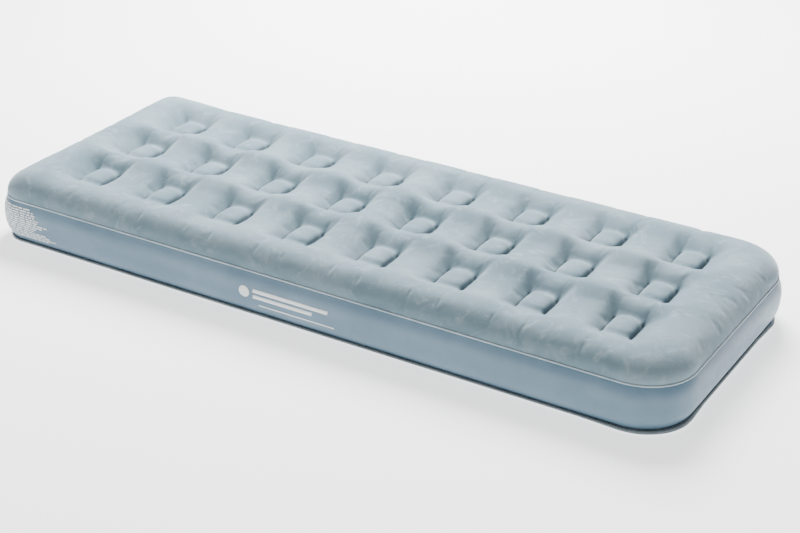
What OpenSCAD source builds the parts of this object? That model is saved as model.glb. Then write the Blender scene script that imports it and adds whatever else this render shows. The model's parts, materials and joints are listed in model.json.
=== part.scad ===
// Single flocked air mattress, inflated, lying on the floor.
// +X runs along the bed towards the foot end, +Z is up.
// The origin is on the flat underside, at the middle of the bed.

/* [Bed] */
// Length of the inflated bed, without the valve
bed_l = 1880; // [1500:10:2200]
// Width of the inflated bed
bed_w = 740; // [700:10:1000]
// Height of the sleeping surface
bed_h = 190; // [180:1:230]
// Radius of the two corners at the foot end in plan
foot_corner_r = 130; // [110:1:200]
// Radius of the two corners at the valve end in plan
head_corner_r = 90; // [85:1:200]
// Thickness of the sheets and ribbons
sheet_t = 0.9; // [0.8:0.05:1.5]

/* [Seams] */
// Height of the weld that joins the top sheet to the side wall
top_seam_z = 120; // [115:1:125]
// Height of the weld that joins the bottom sheet to the side wall
bottom_seam_z = 7; // [6:0.5:10]
// How far the top weld is drawn in from the widest outline
top_tuck = 8; // [4:1:12]
// How far the bottom weld is drawn in from the widest outline
bottom_tuck = 13; // [8:1:16]

/* [Dimples] */
// Number of dimples along the bed
dimples_x = 8; // [2:1:8]
// Number of dimples across the bed
dimples_y = 3; // [2:1:3]
// Distance between neighbouring dimples along the bed
pitch_x = 210; // [175:1:225]
// Distance between neighbouring dimples across the bed
pitch_y = 188.7; // [175:0.1:200]
// Radius of a dimple's rim
dimple_r = 85; // [78:1:87]
// Radius of a dimple's flat floor
dimple_floor_r = 54; // [53:1:60]
// Depth of a dimple in the top sheet
dimple_depth = 50; // [30:1:60]
// Depth of a dimple in the bottom sheet
foot_depth = 14; // [10:1:25]

/* [Ribbons] */
// Distance between the two ribbons of one dimple
ribbon_gap = 70; // [50:1:74]
// Length of a ribbon across the bed
ribbon_l = 73; // [60:1:74]
// Width of a ribbon's welded edge
weld_w = 10; // [6:1:14]

/* [Valve] */
// Height of the valve's centre in the head-end wall
valve_z = 65; // [60:1:68]
// Radius of the flange welded to the wall
flange_r = 29; // [28:0.5:29.5]
// Inside radius of the valve's collar
collar_r = 20; // [19.5:0.1:20.5]
// Rise of the screw thread in one turn
thread_lead = 12; // [11.5:0.1:12.5]
// Radius of the hole that takes an air pump's nozzle
nozzle_r = 9.5; // [8.5:0.1:9.8]
// Thickness of the nozzle's wall
nozzle_wall = 2.4; // [2:0.1:2.6]

/* [Fits] */
// Gap between parts that move on each other
move_gap = 0.3; // [0.25:0.05:0.5]
// Radial clearance of a hinge pin in its ears
pin_clearance = 0.06; // [0.03:0.01:0.1]

/* [Hidden] */
$fn = 96;
columns = [0 : dimples_x - 1];
rows = [0 : dimples_y - 1];

flocking = "#a8b8be";
vinyl = "#8797a3";
seam_vinyl = "#7b8994";
clear_vinyl = "#c9d0d4";
valve_plastic = "#5d676f";
silicone = "#d8d8d4";

// Sheets
steps = 8;
top_seam_h = 4;
top_seam_w = 3;
bottom_seam_h = 1.6;
wall_top_z = top_seam_z - top_seam_h / 2;
crown_z = top_seam_z + top_seam_h / 2;
wall_foot_z = bottom_seam_z + bottom_seam_h;
flat_low_z = valve_z - 30;
flat_high_z = valve_z + 30;
shoulder_inset = 80;
flange_out = 7;
foot_tab = 3;
foot_inset = 48;
cup_floor_z = bed_h - dimple_depth;
foot_rim_r = dimple_floor_r + 6;

// Valve, measured outwards from the wall's outer face
base_t = 1.5;
base_rim_z = 3;
collar_wall = 2.4;
collar_low = -13;
lug_r = collar_r - 1.8;
lug_h = 1.2;
lug_z = -1;
lug_angle = 8;
starts = 3;
thread_steps = 15;
ridge_break = 5;
thread_r = collar_r - 0.6;
nozzle_out_r = nozzle_r + nozzle_wall;
sleeve_r = collar_r - 3;
sleeve_in_r = sleeve_r - 1.8;
insert_low = -14.5;
seal_t = 1.1;
insert_flange_z = base_rim_z + seal_t + 2 * move_gap;
insert_flange_t = 1.6;
insert_flange_top = insert_flange_z + insert_flange_t;
insert_flange_r = 25;
grip_h = 2;
grip_count = 6;
nozzle_top = insert_flange_top + 2.5;
gasket_t = 1;
cap_inner_r = nozzle_out_r + 0.4;
cap_r = cap_inner_r + 1.7;
cap_low = insert_flange_top + move_gap;
cap_under = nozzle_top + move_gap + gasket_t;
cap_top = cap_under + 1.5;
thumb_l = 4;
thumb_w = 8;
pad_t = 0.6;
strap_t = 1.2;
cap_pin_x = -(cap_r + 3.6);
cap_pin_z = insert_flange_top + 2.2;
flap_r = nozzle_r + 1.7;
flap_t = 1.1;
flap_pin_x = nozzle_out_r + 1.8;
flap_pin_z = insert_low - move_gap - flap_t / 2;
pin_r = 0.9;
ear_r = 1.9;
ear_t = 1.4;
knuckle_half = 2.6;
ear_inner = knuckle_half + move_gap;
pin_half = ear_inner + ear_t + 0.3;

function ribbons_name(c, r) = str("ribbons_", c + 1, "_", r + 1);
function dimple_x(c) = (c - (dimples_x - 1) / 2) * pitch_x;
function dimple_y(r) = (r - (dimples_y - 1) / 2) * pitch_y;

// Unit normal to the left of the way a line of points runs, at point i
function normal_at(pts, i) =
    let (a = pts[max(i - 1, 0)], b = pts[min(i + 1, len(pts) - 1)], d = b - a)
    [-d[1], d[0]] / norm(d);

// A strip of one thickness beside a line of points, with its two ends cut square to end_dir
function strip(pts, t, end_dir) = concat(pts,
    [for (i = [len(pts) - 1 : -1 : 0])
        pts[i] + t * (i == 0 ? end_dir[0] : i == len(pts) - 1 ? end_dir[1] : normal_at(pts, i))]);

// Profiles are [distance in from the widest outline, height], inner side on the left

wall_line = concat(
    [for (i = [0 : steps]) let (u = 1 - i / steps)
        [bottom_tuck * u * u, flat_low_z - (flat_low_z - wall_foot_z) * u]],
    [for (i = [0 : steps]) let (u = i / steps)
        [top_tuck * u * u, flat_high_z + (wall_top_z - flat_high_z) * u]]);
shoulder_line = [for (i = [0 : steps]) let (a = 90 * i / steps)
    [top_tuck + (shoulder_inset - top_tuck) * (1 - cos(a)), crown_z + (bed_h - crown_z) * sin(a)]];
hem_line = concat(
    [[bottom_tuck - foot_tab, bottom_seam_z - sheet_t]],
    [for (i = [0 : steps / 2]) let (u = 2 * i / steps)
        [bottom_tuck + foot_tab + (foot_inset - bottom_tuck - foot_tab) * u,
         (bottom_seam_z - sheet_t) * (1 - u) * (1 - u)]]);

function corner_r(sx) = sx > 0 ? foot_corner_r : head_corner_r;

module swept_round(profile) {
    for (sx = [-1, 1], sy = [-1, 1])
        translate([sx * (bed_l / 2 - corner_r(sx)), sy * (bed_w / 2 - corner_r(sx)), 0])
            rotate([0, 0, sx > 0 ? (sy > 0 ? 0 : 270) : (sy > 0 ? 90 : 180)])
                rotate_extrude(angle = 90)
                    polygon([for (p = profile) [corner_r(sx) - p[0], p[1]]]);
    for (sx = [-1, 1]) rotate([0, 0, sx > 0 ? 0 : 180]) rotate([90, 0, 0])
        linear_extrude(height = bed_w - 2 * corner_r(sx), center = true)
            polygon([for (p = profile) [bed_l / 2 - p[0], p[1]]]);
    for (turn = [90, 270])
        translate([(head_corner_r - foot_corner_r) / 2, 0, 0]) rotate([0, 0, turn]) rotate([90, 0, 0])
            linear_extrude(height = bed_l - head_corner_r - foot_corner_r, center = true)
                polygon([for (p = profile) [bed_w / 2 - p[0], p[1]]]);
}

// Flat sheet with round corners, inset from the outline
module plate(inset, z) {
    translate([0, 0, z]) linear_extrude(height = sheet_t) {
        translate([head_corner_r - bed_l / 2, inset - bed_w / 2])
            square([bed_l - head_corner_r - foot_corner_r, bed_w - 2 * inset]);
        for (sx = [-1, 1]) {
            translate([sx > 0 ? 0 : inset - bed_l / 2, corner_r(sx) - bed_w / 2])
                square([bed_l / 2 - inset, bed_w - 2 * corner_r(sx)]);
            for (sy = [-1, 1])
                translate([sx * (bed_l / 2 - corner_r(sx)), sy * (bed_w / 2 - corner_r(sx))])
                    circle(corner_r(sx) - inset);
        }
    }
}

module at_dimples() {
    for (c = columns, r = rows) translate([dimple_x(c), dimple_y(r), 0]) children();
}

// One round cup from a flat floor at floor_z to a rim at rim_z, with its wall on the side of its inner face
module cup(floor_r, rim_r, floor_z, rim_z, inner) {
    line = [for (i = [0 : steps]) let (u = i / steps)
        [floor_r + (rim_r - floor_r) * u, floor_z + (rim_z - floor_z) * (1 - cos(180 * u)) / 2]];
    rotate_extrude() polygon(concat(
        [[0, floor_z]], line,
        [for (i = [steps : -1 : 0]) line[i] + inner * sheet_t
            * (i == 0 || i == steps ? [0, 1] : normal_at(line, i))],
        [[0, floor_z + inner * sheet_t]]));
}

module top_sheet() {
    color(flocking) {
        swept_round(strip(shoulder_line, -sheet_t, [[-1, 0], [0, 1]]));
        difference() {
            plate(shoulder_inset, bed_h - sheet_t);
            at_dimples() translate([0, 0, bed_h - 3]) cylinder(r = dimple_r, h = 6);
        }
        at_dimples() cup(dimple_floor_r, dimple_r, cup_floor_z, bed_h, -1);
    }
}

module side_wall() {
    color(vinyl) difference() {
        swept_round(strip(wall_line, -sheet_t, [[-1.2, 0], [-1.2, 0]]));
        valve_frame() translate([0, 0, -20])
            cylinder(r = collar_r + collar_wall + move_gap / 2, h = 40);
    }
}

module bottom_sheet() {
    color(vinyl) {
        swept_round(strip(hem_line, sheet_t, [[0, 1], [0, 1]]));
        difference() {
            plate(foot_inset, 0);
            at_dimples() translate([0, 0, -3]) cylinder(r = foot_rim_r, h = 6);
        }
        at_dimples() cup(dimple_floor_r, foot_rim_r, foot_depth, 0, 1);
    }
}

module top_seam() {
    color(seam_vinyl) swept_round([
        [top_tuck - 1, wall_top_z], [top_tuck - 1, crown_z],
        [top_tuck - 1 + top_seam_w, crown_z], [top_tuck - 1 + top_seam_w, wall_top_z]]);
}

module bottom_seam() {
    color(seam_vinyl) swept_round([
        [bottom_tuck - flange_out, bottom_seam_z], [bottom_tuck - flange_out, wall_foot_z],
        [bottom_tuck + foot_tab, wall_foot_z], [bottom_tuck + foot_tab, bottom_seam_z]]);
}

// The two ribbons under one dimple: each is a web with a welded edge at its top and its foot
module ribbons() {
    low = foot_depth + sheet_t;
    high = cup_floor_z - sheet_t;
    color(clear_vinyl) for (side = [-1, 1]) translate([side * ribbon_gap / 2, 0, 0]) {
        translate([-sheet_t / 2, -ribbon_l / 2, low]) cube([sheet_t, ribbon_l, high - low]);
        for (z = [low, high - sheet_t])
            translate([-weld_w / 2, -ribbon_l / 2, z]) cube([weld_w, ribbon_l, sheet_t]);
    }
}

// Puts a part on the head-end wall with its +Z pointing out of the bed and its +X pointing up
module valve_frame() {
    translate([-bed_l / 2, 0, valve_z]) rotate([0, -90, 0]) children();
}

// A ring of rectangular section, or the part of one that spans an angle
module ring(inner_r, outer_r, low, high, angle = 360) {
    rotate_extrude(angle = angle) translate([inner_r, low]) square([outer_r - inner_r, high - low]);
}

module pin_across(x, z, r, half) {
    translate([x, half, z]) rotate([90, 0, 0]) cylinder(r = r, h = 2 * half);
}

// A pair of ears with a pin hole, standing from foot_z
module ears(x, z, foot_z) {
    for (side = [-1, 1]) difference() {
        union() {
            translate([x, side * (ear_inner + ear_t / 2), z])
                rotate([90, 0, 0]) cylinder(r = ear_r, h = ear_t, center = true);
            translate([x - ear_r, side * (ear_inner + ear_t / 2) - ear_t / 2, min(z, foot_z)])
                cube([2 * ear_r, ear_t, abs(z - foot_z)]);
        }
        pin_across(x, z, pin_r + pin_clearance, pin_half + 2);
    }
}

module valve_base() {
    color(valve_plastic) valve_frame() {
        ring(collar_r, flange_r, 0, base_t);
        ring(collar_r, collar_r + collar_wall, collar_low, base_rim_z);
        for (i = [0 : starts - 1]) rotate([0, 0, i * 360 / starts - lug_angle / 2])
            ring(lug_r, collar_r + 1, lug_z - lug_h / 2, lug_z + lug_h / 2, lug_angle);
    }
}

module insert_seal() {
    color(silicone) valve_frame()
        ring(collar_r, collar_r + collar_wall, base_rim_z + move_gap, base_rim_z + move_gap + seal_t);
}

// The screw thread is interrupted: its short ridges step down by one lead in a turn
module insert_thread() {
    rise = thread_lead / thread_steps;
    step_angle = 360 / thread_steps;
    for (s = [0 : starts - 1], k = [0 : thread_steps - 1]) {
        z = lug_z - thread_lead / starts / 2 - (k + 0.5) * rise;
        if (z - lug_h / 2 > insert_low + 0.2)
            rotate([0, 0, s * 360 / starts - (k + 1) * step_angle + ridge_break / 2])
                ring(sleeve_r - 1, thread_r, z - lug_h / 2, z + lug_h / 2, step_angle - ridge_break);
    }
}

module valve_insert() {
    color(valve_plastic) valve_frame() {
        rotate_extrude() polygon([
            [nozzle_r, insert_low], [nozzle_out_r, insert_low],
            [nozzle_out_r, insert_flange_z], [sleeve_in_r, insert_flange_z],
            [sleeve_in_r, insert_low], [sleeve_r, insert_low],
            [sleeve_r, insert_flange_z], [insert_flange_r, insert_flange_z],
            [insert_flange_r, insert_flange_top], [nozzle_out_r, insert_flange_top],
            [nozzle_out_r, nozzle_top], [nozzle_r, nozzle_top]]);
        insert_thread();
        for (i = [0 : grip_count - 1]) rotate([0, 0, (i + 0.5) * 360 / grip_count - 6])
            ring(insert_flange_r - 4, insert_flange_r - 0.5, insert_flange_top - 0.5, insert_flange_top + grip_h, 12);
        ears(cap_pin_x, cap_pin_z, insert_flange_top - 0.5);
        ears(flap_pin_x, flap_pin_z, insert_low + 2);
    }
}

module check_flap() {
    z = flap_pin_z - flap_t / 2;
    color(silicone) valve_frame() {
        translate([0, 0, z]) cylinder(r = flap_r, h = flap_t);
        translate([0, -knuckle_half, z]) cube([flap_pin_x, 2 * knuckle_half, flap_t]);
        pin_across(flap_pin_x, flap_pin_z, pin_r + 0.3, knuckle_half);
        pin_across(flap_pin_x, flap_pin_z, pin_r, pin_half);
    }
}

module valve_cap() {
    color(valve_plastic) valve_frame() {
        ring(cap_inner_r, cap_r, cap_low, cap_top);
        translate([0, 0, cap_under]) cylinder(r = cap_r, h = cap_top - cap_under);
        translate([cap_r - 1, -thumb_w / 2, cap_under]) cube([thumb_l, thumb_w, cap_top - cap_under]);
        translate([-cap_r - pad_t, -knuckle_half, cap_low]) cube([pad_t + 1, 2 * knuckle_half, cap_top - cap_low]);
    }
}

module cap_strap() {
    color(valve_plastic) valve_frame() {
        translate([cap_pin_x, -knuckle_half, cap_pin_z - strap_t / 2])
            cube([-cap_r - pad_t - cap_pin_x, 2 * knuckle_half, strap_t]);
        pin_across(cap_pin_x, cap_pin_z, pin_r + 0.5, knuckle_half);
        pin_across(cap_pin_x, cap_pin_z, pin_r, pin_half);
    }
}

module cap_gasket() {
    color(silicone) valve_frame()
        translate([0, 0, cap_under - gasket_t]) cylinder(r = cap_inner_r - 0.1, h = gasket_t);
}

top_sheet();
side_wall();
bottom_sheet();
top_seam();
bottom_seam();
for (c = columns, r = rows)
    translate([dimple_x(c), dimple_y(r), 0]) ribbons();
valve_base();
insert_seal();
valve_insert();
check_flap();
valve_cap();
cap_strap();
cap_gasket();
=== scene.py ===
"""Looks of the flocked air bed: an inflated, dimpled top, a satin side wall, its welds, print and screw valve."""

from __future__ import annotations

import json
import logging
import math
from dataclasses import dataclass, field
from enum import Enum
from typing import Callable, Sequence

import bpy
import numpy as np
from mathutils import Matrix, Vector

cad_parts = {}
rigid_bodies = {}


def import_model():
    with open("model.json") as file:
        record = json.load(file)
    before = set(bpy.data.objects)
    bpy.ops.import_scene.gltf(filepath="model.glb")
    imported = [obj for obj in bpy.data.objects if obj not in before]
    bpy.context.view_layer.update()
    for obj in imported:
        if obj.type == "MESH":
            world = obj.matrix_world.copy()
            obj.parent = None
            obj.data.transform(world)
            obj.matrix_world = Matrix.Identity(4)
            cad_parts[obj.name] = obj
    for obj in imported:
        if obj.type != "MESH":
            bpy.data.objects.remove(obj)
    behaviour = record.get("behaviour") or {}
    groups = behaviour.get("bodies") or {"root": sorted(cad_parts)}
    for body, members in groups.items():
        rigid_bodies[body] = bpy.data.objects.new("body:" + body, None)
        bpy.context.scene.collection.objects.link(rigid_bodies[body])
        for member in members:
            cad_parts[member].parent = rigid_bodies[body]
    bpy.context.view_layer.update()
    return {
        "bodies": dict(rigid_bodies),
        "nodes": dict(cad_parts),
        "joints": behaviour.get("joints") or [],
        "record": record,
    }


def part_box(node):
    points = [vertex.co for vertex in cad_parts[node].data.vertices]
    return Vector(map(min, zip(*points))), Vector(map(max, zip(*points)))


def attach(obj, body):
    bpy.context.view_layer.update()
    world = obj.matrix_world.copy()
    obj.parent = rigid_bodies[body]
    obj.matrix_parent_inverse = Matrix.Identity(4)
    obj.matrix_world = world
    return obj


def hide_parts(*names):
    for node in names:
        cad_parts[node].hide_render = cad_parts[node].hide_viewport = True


LOG = logging.getLogger("air_bed")
MM = 0.001
BED_BODY = "airbed"
Colour = tuple[float, float, float]


class Slot(Enum):
    """The record's material slots."""

    FLOCK = "flocked_top"
    VINYL = "side_vinyl"
    WELD = "seam_vinyl"
    RIBBON = "ribbon_vinyl"
    VALVE = "valve_plastic"
    SILICONE = "silicone"


# ---------------------------------------------------------------- geometry


@dataclass(frozen=True)
class BedShape:
    """Sizes of the inflated bed in metres, read from the frame.

    An inset is a distance in from the bed's widest outline.
    """

    length: float
    width: float
    height: float
    top_weld_low: float
    top_weld_high: float
    top_tuck: float
    foot_weld_low: float
    foot_weld_high: float
    foot_tuck: float
    dimple_floor: float
    foot_corner: float = 130 * MM
    head_corner: float = 76 * MM
    columns: int = 8
    rows: int = 3
    pitch_x: float = 210 * MM
    pitch_y: float = 188.7 * MM
    slot_gap: float = 70 * MM
    slot_length: float = 73 * MM
    valve_height: float = 65 * MM
    valve_hole: float = 22.55 * MM

    @classmethod
    def from_frame(cls) -> BedShape:
        """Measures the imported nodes."""
        wall_low, wall_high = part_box("side_wall")
        top_low, top_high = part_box("top_seam")
        foot_low, foot_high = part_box("bottom_seam")
        _, ribbon_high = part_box("ribbons_1_1")
        return cls(
            length=wall_high[0] - wall_low[0],
            width=wall_high[1] - wall_low[1],
            height=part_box("top_sheet")[1][2],
            top_weld_low=top_low[2],
            top_weld_high=top_high[2],
            top_tuck=wall_high[0] - top_high[0] + 1 * MM,
            foot_weld_low=foot_low[2],
            foot_weld_high=foot_high[2],
            foot_tuck=wall_high[0] - foot_high[0] + 7 * MM,
            dimple_floor=ribbon_high[2] + 1.2 * MM,
        )

    def corner_at(self, x: np.ndarray | float) -> np.ndarray:
        """Radius of the corners at the end that x is nearer to."""
        return np.where(np.asarray(x) > 0, self.foot_corner, self.head_corner)

    def past_core(self, x: np.ndarray, y: np.ndarray) -> tuple[np.ndarray, np.ndarray]:
        """How far places lie past the lines through the nearer corners' centres, in x and in y."""
        corner = self.corner_at(x)
        return np.abs(x) - self.length / 2 + corner, np.abs(y) - self.width / 2 + corner

    def dimple_centres(self) -> list[tuple[float, float]]:
        """Centres of all dimples, column by column."""
        return [
            ((c - (self.columns - 1) / 2) * self.pitch_x, (r - (self.rows - 1) / 2) * self.pitch_y)
            for c in range(self.columns)
            for r in range(self.rows)
        ]

    def slots(self) -> list[tuple[float, float]]:
        """Middles of the weld slots, two in each dimple."""
        half = self.slot_gap / 2
        return [(x + side * half, y) for x, y in self.dimple_centres() for side in (-1, 1)]


def away_from_slot(bed: BedShape, slot: tuple[float, float], px: np.ndarray, py: np.ndarray) -> np.ndarray:
    """Distance in plan from one weld slot's line."""
    beyond = np.maximum(np.abs(py - slot[1]) - bed.slot_length / 2, 0)
    return np.hypot(px - slot[0], beyond)


class Outline:
    """A closed run round the bed, as points on its widest outline and outward normals."""

    def __init__(self, bed: BedShape, count: int) -> None:
        """Spreads points evenly along the widest outline.

        Args:
            bed: the bed's sizes.
            count: how many points there are.
        """
        self.bed = bed
        far_x, far_y, foot, head = bed.length / 2, bed.width / 2, bed.foot_corner, bed.head_corner
        # each leg is a straight and the corner after it: start, direction, length, normal's angle, corner's radius
        self.legs = (
            ((far_x, foot - far_y), (0, 1), 2 * (far_y - foot), 0, foot),
            ((far_x - foot, far_y), (-1, 0), 2 * far_x - foot - head, 90, head),
            ((-far_x, far_y - head), (0, -1), 2 * (far_y - head), 180, head),
            ((head - far_x, -far_y), (1, 0), 2 * far_x - foot - head, 270, foot),
        )
        self.total = sum(leg[2] + leg[4] * math.pi / 2 for leg in self.legs)
        self.run = np.arange(count) * self.total / count
        self.edge, self.normals = self.edge_at(self.run)

    def edge_at(self, run: np.ndarray) -> tuple[np.ndarray, np.ndarray]:
        """Points and outward normals at distances run along the outline."""
        left = np.mod(run, self.total)
        edge = np.zeros((len(left), 2))
        normals = np.zeros((len(left), 2))
        start = 0.0
        for (x, y), (dx, dy), length, angle, radius in self.legs:
            turn = radius * math.pi / 2
            on = (left >= start) & (left < start + length + turn)
            straight = np.clip(left[on] - start, 0, length)
            radians = np.radians(angle + np.clip(left[on] - start - length, 0, turn) / turn * 90)
            outward = np.column_stack([np.cos(radians), np.sin(radians)])
            first = np.array([math.cos(math.radians(angle)), math.sin(math.radians(angle))])
            edge[on] = np.column_stack([x + dx * straight, y + dy * straight]) + (outward - first) * radius
            normals[on] = outward
            start += length + turn
        return edge, normals

    def near_side(self, x: np.ndarray | float) -> np.ndarray | float:
        """Distance run at a place on the near long side, where x may run on round the head corner."""
        last = self.legs[3]
        start = self.total - last[4] * math.pi / 2 - last[2]
        return start + x - last[0][0]

    def head_middle(self) -> float:
        """Distance run at the middle of the head end, where the valve is."""
        before = sum(leg[2] + leg[4] * math.pi / 2 for leg in self.legs[:2])
        return before + self.legs[2][2] / 2

    def at(self, inset: np.ndarray | float) -> np.ndarray:
        """Places in plan at an inset, as an array of (x, y)."""
        reach = np.broadcast_to(np.asarray(inset, float), (len(self.edge),))
        return self.edge - self.normals * reach[:, None]


def ease(share: np.ndarray) -> np.ndarray:
    """Smooths a share from 0 to 1 so that it starts and ends level."""
    return share * share * (3 - 2 * share)


def deselect() -> None:
    """Leaves edit mode and clears the selection."""
    if bpy.context.object and bpy.context.object.mode != "OBJECT":
        bpy.ops.object.mode_set(mode="OBJECT")
    bpy.ops.object.select_all(action="DESELECT")


def activate(piece: bpy.types.Object) -> None:
    """Makes one piece the only selected and active object."""
    deselect()
    piece.select_set(True)
    bpy.context.view_layer.objects.active = piece


def apply_modifiers(piece: bpy.types.Object) -> None:
    """Applies every modifier of a piece in order."""
    activate(piece)
    for modifier in list(piece.modifiers):
        bpy.ops.object.modifier_apply(modifier=modifier.name)


def add_grid(name: str, across: int, along: int) -> bpy.types.Object:
    """Adds a grid to be shaped, with its vertices in rows of `across`."""
    deselect()
    bpy.ops.mesh.primitive_grid_add(x_subdivisions=across - 1, y_subdivisions=along - 1, size=1)
    piece = bpy.context.object
    piece.name = piece.data.name = name
    return piece


def place_vertices(piece: bpy.types.Object, places: np.ndarray) -> None:
    """Moves all vertices of a piece to places, an array of (x, y, z) in the grid's order."""
    piece.data.vertices.foreach_set("co", np.ascontiguousarray(places, np.float32).reshape(-1))
    piece.data.update()


def read_vertices(piece: bpy.types.Object) -> np.ndarray:
    """Reads a piece's vertices as an array of (x, y, z)."""
    places = np.empty(len(piece.data.vertices) * 3, np.float32)
    piece.data.vertices.foreach_get("co", places)
    return places.reshape(-1, 3).astype(float)


def shaped_grid(name: str, across: int, places: np.ndarray) -> bpy.types.Object:
    """Adds a grid in rows of `across` vertices and puts them in their places."""
    places = places.reshape(-1, 3)
    piece = add_grid(name, across, len(places) // across)
    place_vertices(piece, places)
    return piece


def edit_all(piece: bpy.types.Object, *steps: Callable[[], object]) -> None:
    """Runs edit-mode steps on a whole piece and shades it smooth."""
    activate(piece)
    bpy.ops.object.mode_set(mode="EDIT")
    bpy.ops.mesh.select_all(action="SELECT")
    for step in steps:
        step()
    bpy.ops.object.mode_set(mode="OBJECT")
    bpy.ops.object.shade_smooth()


def clean_faces(piece: bpy.types.Object, merge: float = 0.02 * MM) -> None:
    """Merges doubled vertices and turns all faces outwards."""
    edit_all(piece, lambda: bpy.ops.mesh.remove_doubles(threshold=merge),
             lambda: bpy.ops.mesh.normals_make_consistent(inside=False))


def sweep_round(name: str, outline: Outline, profile: Callable[[float], tuple[np.ndarray, np.ndarray]],
                steps: int, closed: bool) -> bpy.types.Object:
    """Sweeps a profile round the bed.

    Args:
        name: the piece's name.
        outline: the run to follow.
        profile: gives insets and heights along the whole run for a share from 0 to 1 of the profile.
        steps: how many bands the profile has.
        closed: whether the profile's end meets its start.

    Returns:
        The new piece, with its ends joined.
    """
    count = len(outline.edge)
    rows = []
    for k in range(steps + 1):
        insets, heights = profile((k % steps if closed else k) / steps)
        ring = np.column_stack([outline.at(insets), np.broadcast_to(heights, (count,))])
        rows.append(np.vstack([ring, ring[:1]]))
    piece = shaped_grid(name, count + 1, np.vstack(rows))
    clean_faces(piece)
    return piece


class Wobble:
    """Smooth seeded unevenness along a run or over a plane, as a few sine waves."""

    def __init__(self, seed: int, waves: int, shortest: float, longest: float) -> None:
        """Draws the waves.

        Args:
            seed: makes the draw repeatable.
            waves: how many sine waves are summed.
            shortest: shortest wave length in metres.
            longest: longest wave length in metres.
        """
        draw = np.random.default_rng(seed)
        lengths = np.exp(draw.uniform(math.log(shortest), math.log(longest), waves))
        angles = draw.uniform(0, 2 * math.pi, waves)
        self.vectors = np.stack([np.cos(angles), np.sin(angles)], axis=1) * (2 * math.pi / lengths)[:, None]
        self.phases = draw.uniform(0, 2 * math.pi, waves)
        self.weights = lengths ** 0.5 / np.sum(lengths ** 0.5)

    def over(self, plan: np.ndarray) -> np.ndarray:
        """Unevenness from -1 to 1 at places in plan."""
        return np.sin(plan @ self.vectors.T + self.phases) @ self.weights


# ---------------------------------------------------------------- finishes


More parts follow.
